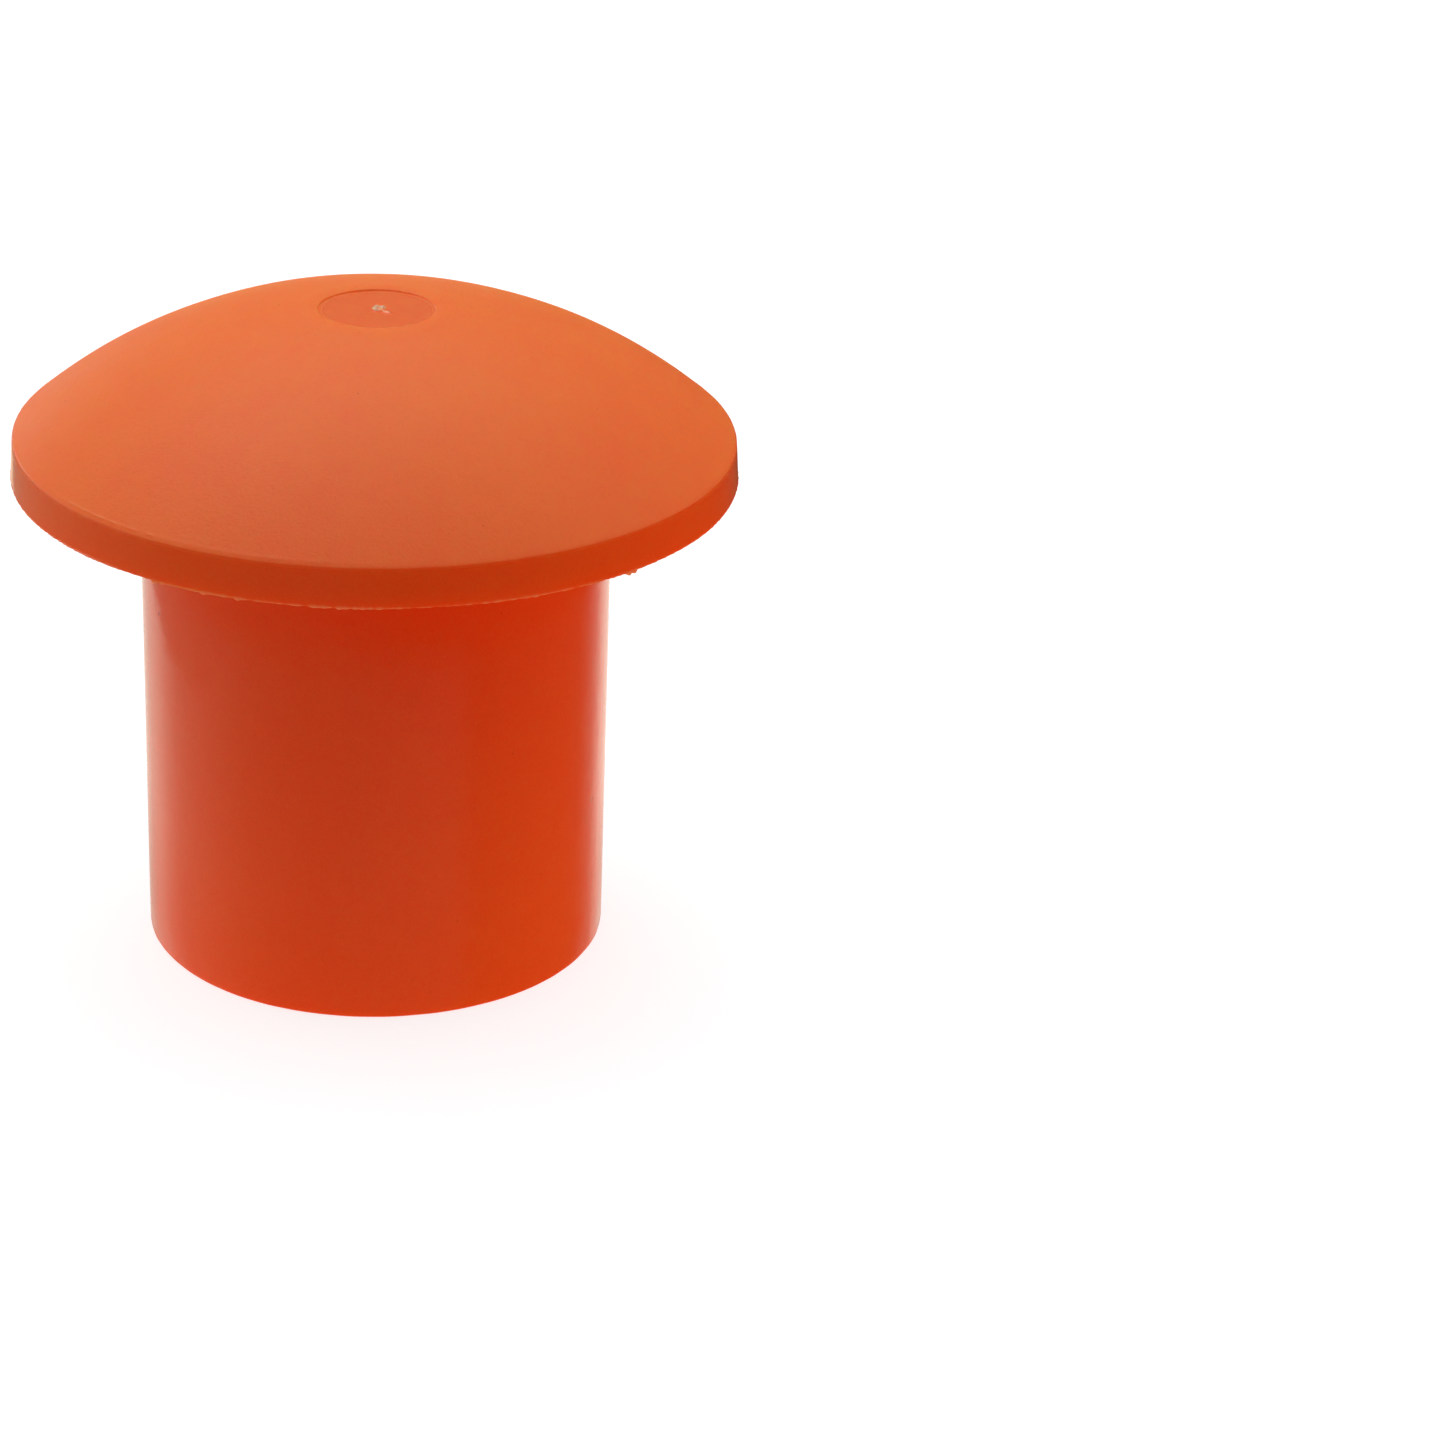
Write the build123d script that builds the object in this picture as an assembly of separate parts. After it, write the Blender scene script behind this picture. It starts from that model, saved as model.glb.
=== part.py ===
from build123d import *
import math
import os

# Mushroom end cap, one injection moulding in soft polyethylene.
# It is pushed over the end of a bar or stake, head up.
#
# Frame: millimetres, +Z up.  The origin is the centre of the sleeve's open
# mouth, in the plane of its rim.  +Z runs from the mouth to the crown.

# ---- driving dimensions -----------------------------------------------------
SLEEVE_OD = 32.8            # outside of the sleeve
BORE_D = 30.5               # plain lead-in of the socket, inside the mouth
SLEEVE_DROP = 34.75         # mouth rim to the lower edge of the head's band
LIP_R = 0.22                # edge radius of the mouth rim, inside and outside

HEAD_D = 50.0               # head at the crease between dome and band
BAND_LOW_D = 50.36          # head at the band's lower edge (mould draft)
BAND_H = 2.70               # height of the band
DOME_RISE = 9.20            # crease to the crown, before the gate recess
DOME_FULLNESS = 0.172       # 0 is a parabola, more is a fuller shoulder
CREASE_R = 0.25             # edge radius where the dome meets the band
BAND_EDGE_R = 0.12          # edge radius at the band's lower outer edge

HEAD_WALL = 1.62            # wall of the hollow head, and width of its rim land
BAND_INNER_DRAFT = 0.06     # inside of the band narrows by this towards its top
LAND_R = 0.35               # edge radius at the inner edge of the rim land
INNER_CORNER_R = 0.9        # corner radius inside the head, band to dome
ROOT_R = 0.4                # corner radius where the sleeve meets the head

GATE_RECESS_D = 8.3         # shallow dish round the gate stub
GATE_RECESS_DEPTH = 0.20
GATE_WALL_RUN = 0.16        # how far the recess wall slopes in, in plan
GATE_LIP_R = 0.12           # edge radius round the recess, rim and floor
GATE_STUB_D = 0.95          # stub left by the pin gate
GATE_STUB_TAPER = 0.6       # top diameter over bottom diameter
GATE_STUB_H = 0.42          # above the recess floor
GATE_STUB_SINK = 0.1        # overlap below the recess floor
GATE_STUB_OFFSET = (0.28, -0.16)

LEAD_IN = 9.75              # depth at which the grip fins start
BORE_TOP_D = 30.0           # socket at its closed end (mould draft)
CEIL_R = 0.5                # corner radius at the closed end

FIN_COUNT = 4
FIN_T = 1.30                # fin thickness
FIN_SLOPE = 0.37            # how far a fin's edge leans in per mm of depth
FIN_EDGE_R = 0.15           # edge radius along the fins' inner edges
FIN_FOOT_SINK = 0.25        # overlap with the socket wall at the fin's foot
FIN_TOP_SINK = 0.3          # the same at the closed end
FIN_LEAN_MIN = 30.0         # a fin's leaning edges are longer than this

LIMIT_SINK = 0.5            # fins may enter the closed end by this much
LIMIT_MARGIN = 0.6          # limit's radius beyond the socket's closed end
LIMIT_FLOOR = 0.5           # height of the limit's lower face

# ---- derived ----------------------------------------------------------------
R_OUT = SLEEVE_OD / 2
R_BORE = BORE_D / 2
R_BORE_TOP = BORE_TOP_D / 2
R_HEAD = HEAD_D / 2
R_LOW = BAND_LOW_D / 2
R_LAND = R_LOW - HEAD_WALL              # inner edge of the rim land
R_INNER = R_LAND - BAND_INNER_DRAFT     # inside of the band at its top
R_RECESS = GATE_RECESS_D / 2
R_RECESS_FLOOR = R_RECESS - GATE_WALL_RUN
Z_LOW = SLEEVE_DROP                     # band's lower edge
Z_CREASE = Z_LOW + BAND_H


# ---- dome surfaces ----------------------------------------------------------
def dome_z(r):
    """Height of the dome's outer surface at radius r."""
    q = r / R_HEAD
    return Z_CREASE + DOME_RISE * (1 - q * q) * (1 + DOME_FULLNESS * q * q)


def dome_slope(r):
    """dz/dr of the dome's outer surface at radius r."""
    q = r / R_HEAD
    f = DOME_FULLNESS
    return DOME_RISE * (-2 * q * (1 + f * q * q) + (1 - q * q) * 2 * f * q) / R_HEAD


def inner_point(r):
    """The dome's inner surface: the outer point at r, moved in by the wall."""
    slope = dome_slope(r)
    norm = math.hypot(1.0, slope)
    return (r + HEAD_WALL * slope / norm, dome_z(r) - HEAD_WALL / norm)


def outer_r_for(radius):
    """The outer radius whose inner point lies at this radius, by bisection."""
    low, high = 0.0, R_HEAD
    for _ in range(60):
        mid = (low + high) / 2
        if inner_point(mid)[0] < radius:
            low = mid
        else:
            high = mid
    return (low + high) / 2


def inner_z(radius):
    """Height of the dome's inner surface at this radius."""
    return inner_point(outer_r_for(radius))[1]


def inner_slope(radius):
    """dz/dr of the dome's inner surface at this radius."""
    return dome_slope(outer_r_for(radius))


def dome_curve(height, slope, start, end, steps, lift=0.0):
    """Spline along a dome surface between two radii, raised by lift."""
    radii = [start + (end - start) * i / steps for i in range(steps + 1)]
    way = 1 if end > start else -1
    Spline(
        *[(r, height(r) + lift) for r in radii],
        tangents=((way, way * slope(start)), (way, way * slope(end))),
    )


# ---- revolved shell ---------------------------------------------------------
def make_shell():
    """Sleeve and hollow head, revolved from a half section in radius and Z."""
    # the section's named corners
    mouth_in = (R_BORE, 0)
    mouth_out = (R_OUT, 0)
    root = (R_OUT, inner_z(R_OUT))
    inner_corner = (R_INNER, inner_z(R_INNER))
    land_edge = (R_LAND, Z_LOW)
    band_edge = (R_LOW, Z_LOW)
    crease = (R_HEAD, Z_CREASE)
    recess_rim = (R_RECESS, dome_z(R_RECESS))
    recess_floor = (R_RECESS_FLOOR, Z_RECESS)
    ceiling_edge = (R_BORE_TOP, inner_z(R_BORE_TOP))

    # corner and radius, in the order they are rounded
    rounds = [
        (root, ROOT_R),
        (inner_corner, INNER_CORNER_R),
        (land_edge, LAND_R),
        (band_edge, BAND_EDGE_R),
        (crease, CREASE_R),
        (recess_rim, GATE_LIP_R),
        (recess_floor, GATE_LIP_R),
        (ceiling_edge, CEIL_R),
        (mouth_out, LIP_R),
        (mouth_in, LIP_R),
    ]

    with BuildPart() as shell:
        with BuildSketch(Plane.XZ) as section:
            with BuildLine():
                # mouth rim and outside of the sleeve
                Polyline(mouth_in, mouth_out, root)
                # underside of the hollow head
                dome_curve(inner_z, inner_slope, R_OUT, R_INNER, steps=12)
                # inside of the band, rim land, outside of the band
                Polyline(inner_corner, land_edge, band_edge, crease)
                # dome, up to the edge of the gate recess
                dome_curve(dome_z, dome_slope, R_HEAD, R_RECESS, steps=18)
                # recess wall and floor, then down the axis
                Polyline(recess_rim, recess_floor, (0, Z_RECESS), (0, inner_z(0)))
                # closed end of the socket
                dome_curve(inner_z, inner_slope, 0, R_BORE_TOP, steps=10)
                # socket: drafted above the lead-in, plain below it
                Polyline(ceiling_edge, (R_BORE, LEAD_IN), mouth_in)
            make_face()
            for (x, y), radius in rounds:
                fillet(section.vertices().sort_by_distance((x, y, 0))[0], radius)
        revolve(axis=Axis.Z)
    return shell.part


# ---- grip fins --------------------------------------------------------------
def make_fin():
    """One fin on +X, flush with the socket wall at the end of the lead-in
    and leaning in towards the axis up to the closed end."""
    z_top = inner_z(0) + LIMIT_SINK
    foot = R_BORE + FIN_FOOT_SINK
    tip_top = R_BORE - FIN_SLOPE * (z_top - LEAD_IN)
    z_start = LEAD_IN - FIN_FOOT_SINK / FIN_SLOPE
    with BuildPart() as fin:
        with BuildSketch(Plane.XZ.offset(-FIN_T / 2)):
            with BuildLine():
                Polyline(
                    (foot, z_start),
                    (tip_top, z_top),
                    (R_BORE_TOP + FIN_TOP_SINK, z_top),
                    (foot, z_start),
                )
            make_face()
        extrude(amount=FIN_T)
    # the two leaning edges; the long edges in the wall lie further out
    lean_x = (foot + tip_top) / 2 + 0.01
    lean = [
        edge
        for edge in fin.part.edges().filter_by(GeomType.LINE)
        if edge.length > FIN_LEAN_MIN and edge.center().X < lean_x
    ]
    return fin.part.fillet(FIN_EDGE_R, lean)


def make_fin_limit():
    """Solid that keeps the fins inside the shell's outer surface."""
    radius = R_BORE_TOP + LIMIT_MARGIN
    with BuildPart() as limit:
        with BuildSketch(Plane.XZ):
            with BuildLine():
                dome_curve(inner_z, inner_slope, 0, radius, steps=10, lift=LIMIT_SINK)
                Polyline(
                    (radius, inner_z(radius) + LIMIT_SINK),
                    (radius, LIMIT_FLOOR),
                    (0, LIMIT_FLOOR),
                    (0, inner_z(0) + LIMIT_SINK),
                )
            make_face()
        revolve(axis=Axis.Z)
    return limit.part


# ---- cap --------------------------------------------------------------------
Z_RECESS = dome_z(R_RECESS) - GATE_RECESS_DEPTH     # gate recess floor

shell_part = make_shell()
blade = make_fin() & make_fin_limit()

with BuildPart() as cap:
    add(shell_part)

    # the stub that the pin gate leaves on the recess floor
    with Locations((*GATE_STUB_OFFSET, Z_RECESS - GATE_STUB_SINK)):
        Cone(
            bottom_radius=GATE_STUB_D / 2,
            top_radius=GATE_STUB_D / 2 * GATE_STUB_TAPER,
            height=GATE_STUB_H + GATE_STUB_SINK,
            align=(Align.CENTER, Align.CENTER, Align.MIN),
        )

    for i in range(FIN_COUNT):
        add(blade.rotate(Axis.Z, 360.0 / FIN_COUNT * i))

cap_solid = cap.part.solid()
cap_solid.label = "mushroom_cap"

os.makedirs("parts", exist_ok=True)
export_step(cap_solid, "parts/mushroom_cap.step")
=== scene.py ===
"""Mushroom end cap: one closed injection-moulded shell in soft orange polyethylene.

The cap's axis is the z axis. The sleeve's open mouth is at z = 0, and the domed head is on top.
The camera stands on the -y side, with +x at its right. The shell is one fine mesh, with parting
flash, a torn gate stub and slight waves. Part sizes are in millimetres, the studio's in metres.
"""

import math
from types import SimpleNamespace

import bmesh
import bpy
import numpy as np
from mathutils import Matrix, Vector


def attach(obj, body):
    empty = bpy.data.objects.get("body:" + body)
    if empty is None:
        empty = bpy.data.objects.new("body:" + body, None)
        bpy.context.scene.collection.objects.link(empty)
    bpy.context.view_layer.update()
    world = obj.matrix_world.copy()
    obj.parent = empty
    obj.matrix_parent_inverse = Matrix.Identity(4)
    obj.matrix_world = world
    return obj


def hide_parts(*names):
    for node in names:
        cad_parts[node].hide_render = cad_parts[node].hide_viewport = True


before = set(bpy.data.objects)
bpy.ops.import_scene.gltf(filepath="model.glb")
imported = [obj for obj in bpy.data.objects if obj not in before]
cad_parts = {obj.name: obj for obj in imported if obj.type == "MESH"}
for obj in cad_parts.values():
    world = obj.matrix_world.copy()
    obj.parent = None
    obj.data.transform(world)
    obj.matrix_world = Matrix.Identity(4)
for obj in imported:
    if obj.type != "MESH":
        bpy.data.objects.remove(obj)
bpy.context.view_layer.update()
MM = 0.001

# ---- dimensions, in millimetres ----------------------------------------------------
SLEEVE_R = 16.4
BORE_R = 15.25
BORE_TOP_R = 15.0           # the socket narrows to this above the lead-in
LEAD_IN_Z = 9.75            # the fins start here
EDGE_Z = 34.75              # lower edge of the head's band
EDGE_R = 25.18
BAND_H = 2.70
CREASE_R = 25.0             # crease between band and dome
CREASE_Z = EDGE_Z + BAND_H
DOME_RISE = 9.20
DOME_FULLNESS = 0.172
HEAD_WALL = 1.62

RECESS_R = 4.15             # round gate recess in the crown
RECESS_DEPTH = 0.20
RECESS_WALL_R = RECESS_R - 0.14
RECESS_WALL_H = 0.075
RECESS_WALL_LEAN = 0.03
LIP_R = RECESS_R + 0.45
STUB_X, STUB_Y = 0.28, -0.16

FIN_T = 1.30
FIN_SLOPE = 0.37            # inward run of the fin's inner edge per height
FIN_EDGE_R = 0.15
FIN_STEPS = 22

# corner radii of the section
RECESS_ROUND = 0.04
CREASE_ROUND = 0.15
LAND_ROUND = 0.35
HEAD_INNER_ROUND = 0.9
ROOT_ROUND = 0.4
RIM_ROUND = 0.22
CEILING_ROUND = 0.5

# points round a ring; the flashed edge is the finest
FINE, FULL, HALF, QUARTER = 1152, 384, 192, 96

# surface value of each kind of ring: 0 polished sleeve to 1 satin dome
ZONES = {
    "floor": 0.55, "recess": 0.80, "lip": 1.0, "dome": 1.0, "parting_out": 1.0,
    "parting_mid": 0.9, "crease": 0.7, "band": 0.36, "flash_foot": 0.36, "flash_top": 0.4,
    "flash_tip": 0.4, "flash_under": 0.4, "land": 0.35, "inside": 0.25, "sleeve": 0.0,
    "rim": 0.5, "burr": 0.4, "socket": 0.12,
}
CROWN_KINDS = ("floor", "recess", "lip", "dome", "parting_out", "parting_mid")

# shift of each flash ring: outward per flash and per tag, then downward per flash and per tag
FLASH_SHIFTS = {
    "flash_foot": (0.006, 0.0, 0.0, 0.0),
    "flash_top": (0.030, 0.045, 0.012, 0.035),
    "flash_tip": (0.088, 0.100, 0.060, 0.085),
    "flash_under": (0.0, 0.0, 0.020, 0.050),
}

# small torn tags on the band's lower edge: angle in degrees, size, half width in degrees
TAGS = (
    (-120.3, 0.30, 0.46), (-118.9, 0.14, 0.40), (-111.8, 0.16, 0.42),
    (-106.3, 0.15, 0.40), (-44.8, 0.27, 0.44), (-43.6, 0.24, 0.60),
    (-61.5, 0.06, 0.8), (74.0, 0.30, 0.5), (161.0, 0.22, 0.6),
)
TAG_GAIN = 6.0


# ---- profile of the head -------------------------------------------------------------
def dome_z(radius):
    q = radius / CREASE_R
    return CREASE_Z + DOME_RISE * (1 - q * q) * (1 + DOME_FULLNESS * q * q)


def dome_slope(radius):
    q, full = radius / CREASE_R, DOME_FULLNESS
    return DOME_RISE * (-2 * q * (1 + full * q * q) + (1 - q * q) * 2 * full * q) / CREASE_R


def under_point(dome_radius):
    """The point one wall's thickness below the dome, square to its surface."""
    slope = dome_slope(dome_radius)
    length = math.hypot(1.0, slope)
    return dome_radius + HEAD_WALL * slope / length, dome_z(dome_radius) - HEAD_WALL / length


def dome_radius_over(radius):
    """The dome radius whose under point lies at radius, found by halving."""
    low, high = 0.0, CREASE_R
    for _ in range(60):
        middle = (low + high) / 2
        if under_point(middle)[0] < radius:
            low = middle
        else:
            high = middle
    return (low + high) / 2


def under_z(radius):
    return under_point(dome_radius_over(radius))[1]


def under_slope(radius):
    return dome_slope(dome_radius_over(radius))


def band_r(z):
    return CREASE_R + (EDGE_R - CREASE_R) * (CREASE_Z - z) / BAND_H


def arc(corner, heading_in, heading_out, radius, steps):
    """Points of a rounded corner between two directions of travel, ends included."""
    heading_in, heading_out = np.array(heading_in, float), np.array(heading_out, float)
    heading_in = heading_in / np.linalg.norm(heading_in)
    heading_out = heading_out / np.linalg.norm(heading_out)
    turn = math.acos(float(np.clip(heading_in @ heading_out, -1, 1)))
    cross = heading_in[0] * heading_out[1] - heading_in[1] * heading_out[0]
    side = math.copysign(1.0, cross)
    start = np.array(corner, float) - radius * math.tan(turn / 2) * heading_in
    centre = start + radius * (side * np.array([-heading_in[1], heading_in[0]]))
    arm = start - centre
    points = []
    for i in range(steps + 1):
        angle = side * turn * i / steps
        c, s = math.cos(angle), math.sin(angle)
        points.append(centre + np.array([c * arm[0] - s * arm[1], s * arm[0] + c * arm[1]]))
    return points


# ---- the section: rings from the crown's centre out, down and round to the socket's closed end
rings = []                  # (radius, height, points round, kind)


def ring(radius, z, count, kind):
    rings.append((float(radius), float(z), count, kind))


def ring_path(points, count, kind):
    for radius, z in points:
        ring(radius, z, count, kind)


# floor of the gate recess
recess_z = dome_z(RECESS_R) - RECESS_DEPTH
for i in range(1, 30):
    ring(0.052 * i, recess_z, QUARTER, "floor")
for radius in (1.72, 2.05, 2.5, 3.0, 3.4):
    ring(radius, recess_z, HALF, "floor")
ring(3.68, recess_z, FULL, "floor")

# its edge: a short crisp wall, then a soft lip that rolls out into the dome
ring_path(
    arc((RECESS_WALL_R, recess_z), (1, 0), (RECESS_WALL_LEAN, RECESS_WALL_H), RECESS_ROUND, 4),
    FULL, "recess",
)
lip_z = recess_z + RECESS_WALL_H
for i in range(11):
    angle = math.pi / 2 * i / 10
    ring(
        RECESS_WALL_R + RECESS_WALL_LEAN
        + (LIP_R - RECESS_WALL_R - RECESS_WALL_LEAN) * (1 - math.cos(angle)),
        lip_z + (dome_z(LIP_R) - lip_z) * math.sin(angle),
        FULL, "lip",
    )

# dome, from the recess out to the crease
for radius in list(np.linspace(LIP_R, 6.0, 9)[1:]) + list(np.linspace(6.0, 23.6, 30)[1:]):
    ring(radius, dome_z(radius), FULL, "dome")
for radius, count, kind in (
    (24.05, FULL, "dome"), (24.35, FULL, "dome"), (24.55, FINE, "dome"),
    (24.68, FINE, "parting_out"), (24.745, FINE, "parting_mid"), (24.80, FINE, "parting_out"),
):
    ring(radius, dome_z(radius), count, kind)
crease_corner = arc(
    (CREASE_R, CREASE_Z), (1, dome_slope(CREASE_R)), (EDGE_R - CREASE_R, -BAND_H),
    CREASE_ROUND, 6,
)
ring_path(crease_corner[1:], FINE, "crease")

# band, down to its ragged lower edge
for z in (CREASE_Z - 0.62, CREASE_Z - 1.25, CREASE_Z - 1.85, EDGE_Z + 0.5, EDGE_Z + 0.27):
    ring(band_r(z), z, FINE, "band")
ring(band_r(EDGE_Z + 0.13), EDGE_Z + 0.13, FINE, "flash_foot")
ring(band_r(EDGE_Z + 0.055), EDGE_Z + 0.055, FINE, "flash_top")
ring(EDGE_R + 0.004, EDGE_Z + 0.012, FINE, "flash_tip")
ring(EDGE_R - 0.055, EDGE_Z - 0.002, FINE, "flash_under")
ring(EDGE_R - 0.16, EDGE_Z, FINE, "land")

# flat land under the edge, then the inner side of the band
land_r = EDGE_R - HEAD_WALL
head_inner_r = land_r - 0.06
head_inner_z = under_z(head_inner_r)
band_rise = (head_inner_r - land_r, head_inner_z - EDGE_Z)
land_corner = arc((land_r, EDGE_Z), (-1, 0), band_rise, LAND_ROUND, 6)
for radius in np.linspace(EDGE_R - 0.16, land_corner[0][0], 4)[1:-1]:
    ring(radius, EDGE_Z, FULL, "land")
ring_path(land_corner, FULL, "inside")
head_corner = arc(
    (head_inner_r, head_inner_z), band_rise, (-1, -under_slope(head_inner_r)),
    HEAD_INNER_ROUND, 7,
)
for t in (0.33, 0.66):
    ring(*(land_corner[-1] * (1 - t) + head_corner[0] * t), FULL, "inside")
ring_path(head_corner, FULL, "inside")

# underside of the head, in to the sleeve's root
root_corner = arc(
    (SLEEVE_R, under_z(SLEEVE_R)), (-1, -under_slope(SLEEVE_R)), (0, -1), ROOT_ROUND, 6
)
for radius in np.linspace(head_corner[-1][0], root_corner[0][0], 11)[1:-1]:
    ring(radius, under_z(radius), FULL, "inside")
ring_path(root_corner, FULL, "sleeve")

# outside of the sleeve, and its mouth
rim_outer = arc((SLEEVE_R, 0), (0, -1), (-1, 0), RIM_ROUND, 6)
rim_inner = arc((BORE_R, 0), (-1, 0), (0, 1), RIM_ROUND, 6)
for z in np.linspace(root_corner[-1][1], rim_outer[0][1], 19)[1:-1]:
    ring(SLEEVE_R, z, FULL, "sleeve")
ring_path(rim_outer, FULL, "rim")
for t in (0.35, 0.7):
    ring(rim_outer[-1][0] * (1 - t) + rim_inner[0][0] * t, 0, FULL, "rim")
ring_path(rim_inner, FULL, "burr")

# socket; its straight part ends off the fins' starts, so that no corner lies on another
straight_top = LEAD_IN_Z - 0.23
for z in (0.55, 1.3, 2.6, 4.3, 6.1, 7.9, straight_top):
    ring(BORE_R, z, FULL, "socket")
ceiling_z = under_z(BORE_TOP_R)
ceiling_corner = arc(
    (BORE_TOP_R, ceiling_z), (BORE_TOP_R - BORE_R, ceiling_z - LEAD_IN_Z),
    (-1, -under_slope(BORE_TOP_R)), CEILING_ROUND, 6,
)
for i in range(1, 9):
    t = i / 9
    radius = BORE_R * (1 - t) + ceiling_corner[0][0] * t
    ring(radius, straight_top * (1 - t) + ceiling_corner[0][1] * t, FULL, "socket")
ring_path(ceiling_corner, FULL, "socket")
for radius, count in (
    (13.2, FULL), (11.6, HALF), (9.8, HALF), (8.0, HALF), (6.2, QUARTER), (4.5, QUARTER),
    (3.0, QUARTER), (1.8, 48), (0.9, 24),
):
    ring(radius, under_z(radius), count, "socket")


# ---- displacement --------------------------------------------------------------------
def wave(theta, low, high, fall, seed):
    """A seeded periodic wave of theta with unit spread, from harmonics low to high."""
    rng = np.random.default_rng(1000 + seed)
    harmonics = np.arange(low, high + 1)
    if len(harmonics) > 90:
        harmonics = np.sort(rng.choice(harmonics, 90, replace=False))
    sizes = (harmonics / harmonics[0]) ** -fall
    phases = rng.uniform(0, 2 * math.pi, len(harmonics))
    waves = sizes[:, None] * np.sin(harmonics[:, None] * theta[None, :] + phases[:, None])
    return waves.sum(0) / math.sqrt((sizes**2).sum() / 2)


def bell(theta, centre, width):
    """A bell round an angle; centre and width are in degrees."""
    offset = (np.degrees(theta) - centre + 180.0) % 360.0 - 180.0
    return np.exp(-((offset / width) ** 2))


def ease(start, end, value):
    t = min(max((value - start) / (end - start), 0), 1)
    return t * t * (3 - 2 * t)


def flash_height(theta):
    """Height of the ragged flash round the edge, 0 to about 1; taller in some sectors."""
    broad = 0.5 + 0.26 * wave(theta, low=3, high=17, fall=0.2, seed=1)
    fine = 0.24 * wave(theta, low=60, high=330, fall=0.25, seed=2)
    height = broad + fine * (0.35 + np.clip(broad, 0, 1)) + 0.9 * bell(theta, -113, 10)
    sectors = bell(theta, -88, 34) + bell(theta, 40, 30) + 0.8 * bell(theta, 135, 16)
    return np.clip(height, 0.04, 1.5) * (0.42 + 0.58 * np.clip(sectors, 0, 1))


def tag_height(theta):
    return sum(bell(theta, at, width) * size * TAG_GAIN for at, size, width in TAGS)


def stub_height(x, y):
    """The torn stub: a c-shaped curl round a low body, with a short tail and a fine ruff."""
    dx, dy = x - STUB_X + 0.14, y - STUB_Y - 0.20
    radius, angle = np.hypot(dx, dy), np.arctan2(dy, dx)
    gap = np.clip((np.cos(angle + 0.75) - 0.45) / 0.4, 0, 1)
    curl = np.exp(-(((radius - 0.34) / 0.135) ** 2)) * (1 - gap)
    curl = curl * (0.21 + 0.05 * np.sin(3 * angle + 0.6))
    body = 0.08 * np.exp(-((radius / 0.46) ** 4))
    tail_x, tail_y = x - STUB_X - 0.40, y - STUB_Y + 0.40
    along, across = tail_x * 0.80 - tail_y * 0.60, tail_x * 0.60 + tail_y * 0.80
    tail = 0.13 * np.exp(-((along / 0.38) ** 2) - ((across / 0.20) ** 2))
    ruff = 0.020 * np.sin(23 * x + 3 * np.sin(9 * y)) * np.sin(27 * y + 2)
    ruff = ruff * np.exp(-((np.hypot(x - STUB_X, y - STUB_Y) / 0.7) ** 4))
    return np.maximum(np.maximum(curl, body), tail) + ruff


def displace_crown(radius, z, theta, kind):
    """Dome and recess: slow waves, nil at the crease and the centre, and a faint raised ring."""
    x, y = radius * np.cos(theta), radius * np.sin(theta)
    edge = 0.0
    soft = ease(25.0, 21.0, radius) * ease(0.0, 7.0, radius)
    z = z + 0.016 * soft * (
        0.55 * np.sin(0.31 * x + 0.17 * y + 0.6)
        + 0.45 * np.sin(-0.22 * x + 0.41 * y + 2.1)
        + 0.30 * np.sin(0.62 * x - 0.35 * y + 4.0)
    )
    # the raised ring stands just outside the recess
    z = z + 0.030 * math.exp(-(((radius - 5.15) / 0.42) ** 2)) * (
        1 + 0.25 * wave(theta, low=2, high=9, fall=0.4, seed=7)
    )
    if kind == "recess":
        z = z + 0.006 * wave(theta, low=2, high=24, fall=0.7, seed=8)
    elif kind == "floor":
        stub = stub_height(x, y)
        z = z + stub + 0.004 * np.sin(2.1 * x + 0.4) * np.sin(1.7 * y)
        edge = np.clip(stub / 0.16, 0, 1)
    elif kind == "parting_mid":
        # a fine ridge round the dome, higher in two sectors
        coarse = 0.6 * wave(theta, low=2, high=11, fall=0.3, seed=3)
        fine = 0.25 * wave(theta, low=40, high=180, fall=0.3, seed=4)
        lift = 0.030 * np.clip(0.55 + coarse + fine, 0.05, 1.6)
        sectors = bell(theta, -124, 26) + 0.7 * bell(theta, 60, 35)
        lift = lift * (0.18 + 0.82 * np.clip(sectors, 0, 1))
        z, radius = z + lift * 0.75, radius + lift * 0.65
        edge = np.clip(lift / 0.04, 0, 1)
    return radius, z, edge


def displace_flash(radius, z, theta, kind):
    flash, tag = flash_height(theta), tag_height(theta)
    out_flash, out_tag, down_flash, down_tag = FLASH_SHIFTS[kind]
    radius = radius + out_flash * flash + out_tag * tag
    z = z - down_flash * flash - down_tag * tag
    if kind == "flash_foot":
        edge = 0.22 + 0.25 * flash
    elif kind == "flash_top":
        edge = 0.30 + 0.55 * np.clip(flash + tag, 0, 1)
    elif kind == "flash_tip":
        edge = np.clip(0.35 + flash + tag, 0, 1)
    else:
        edge = 0.6 * np.clip(flash + tag, 0, 1)
    return radius, z, edge


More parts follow.
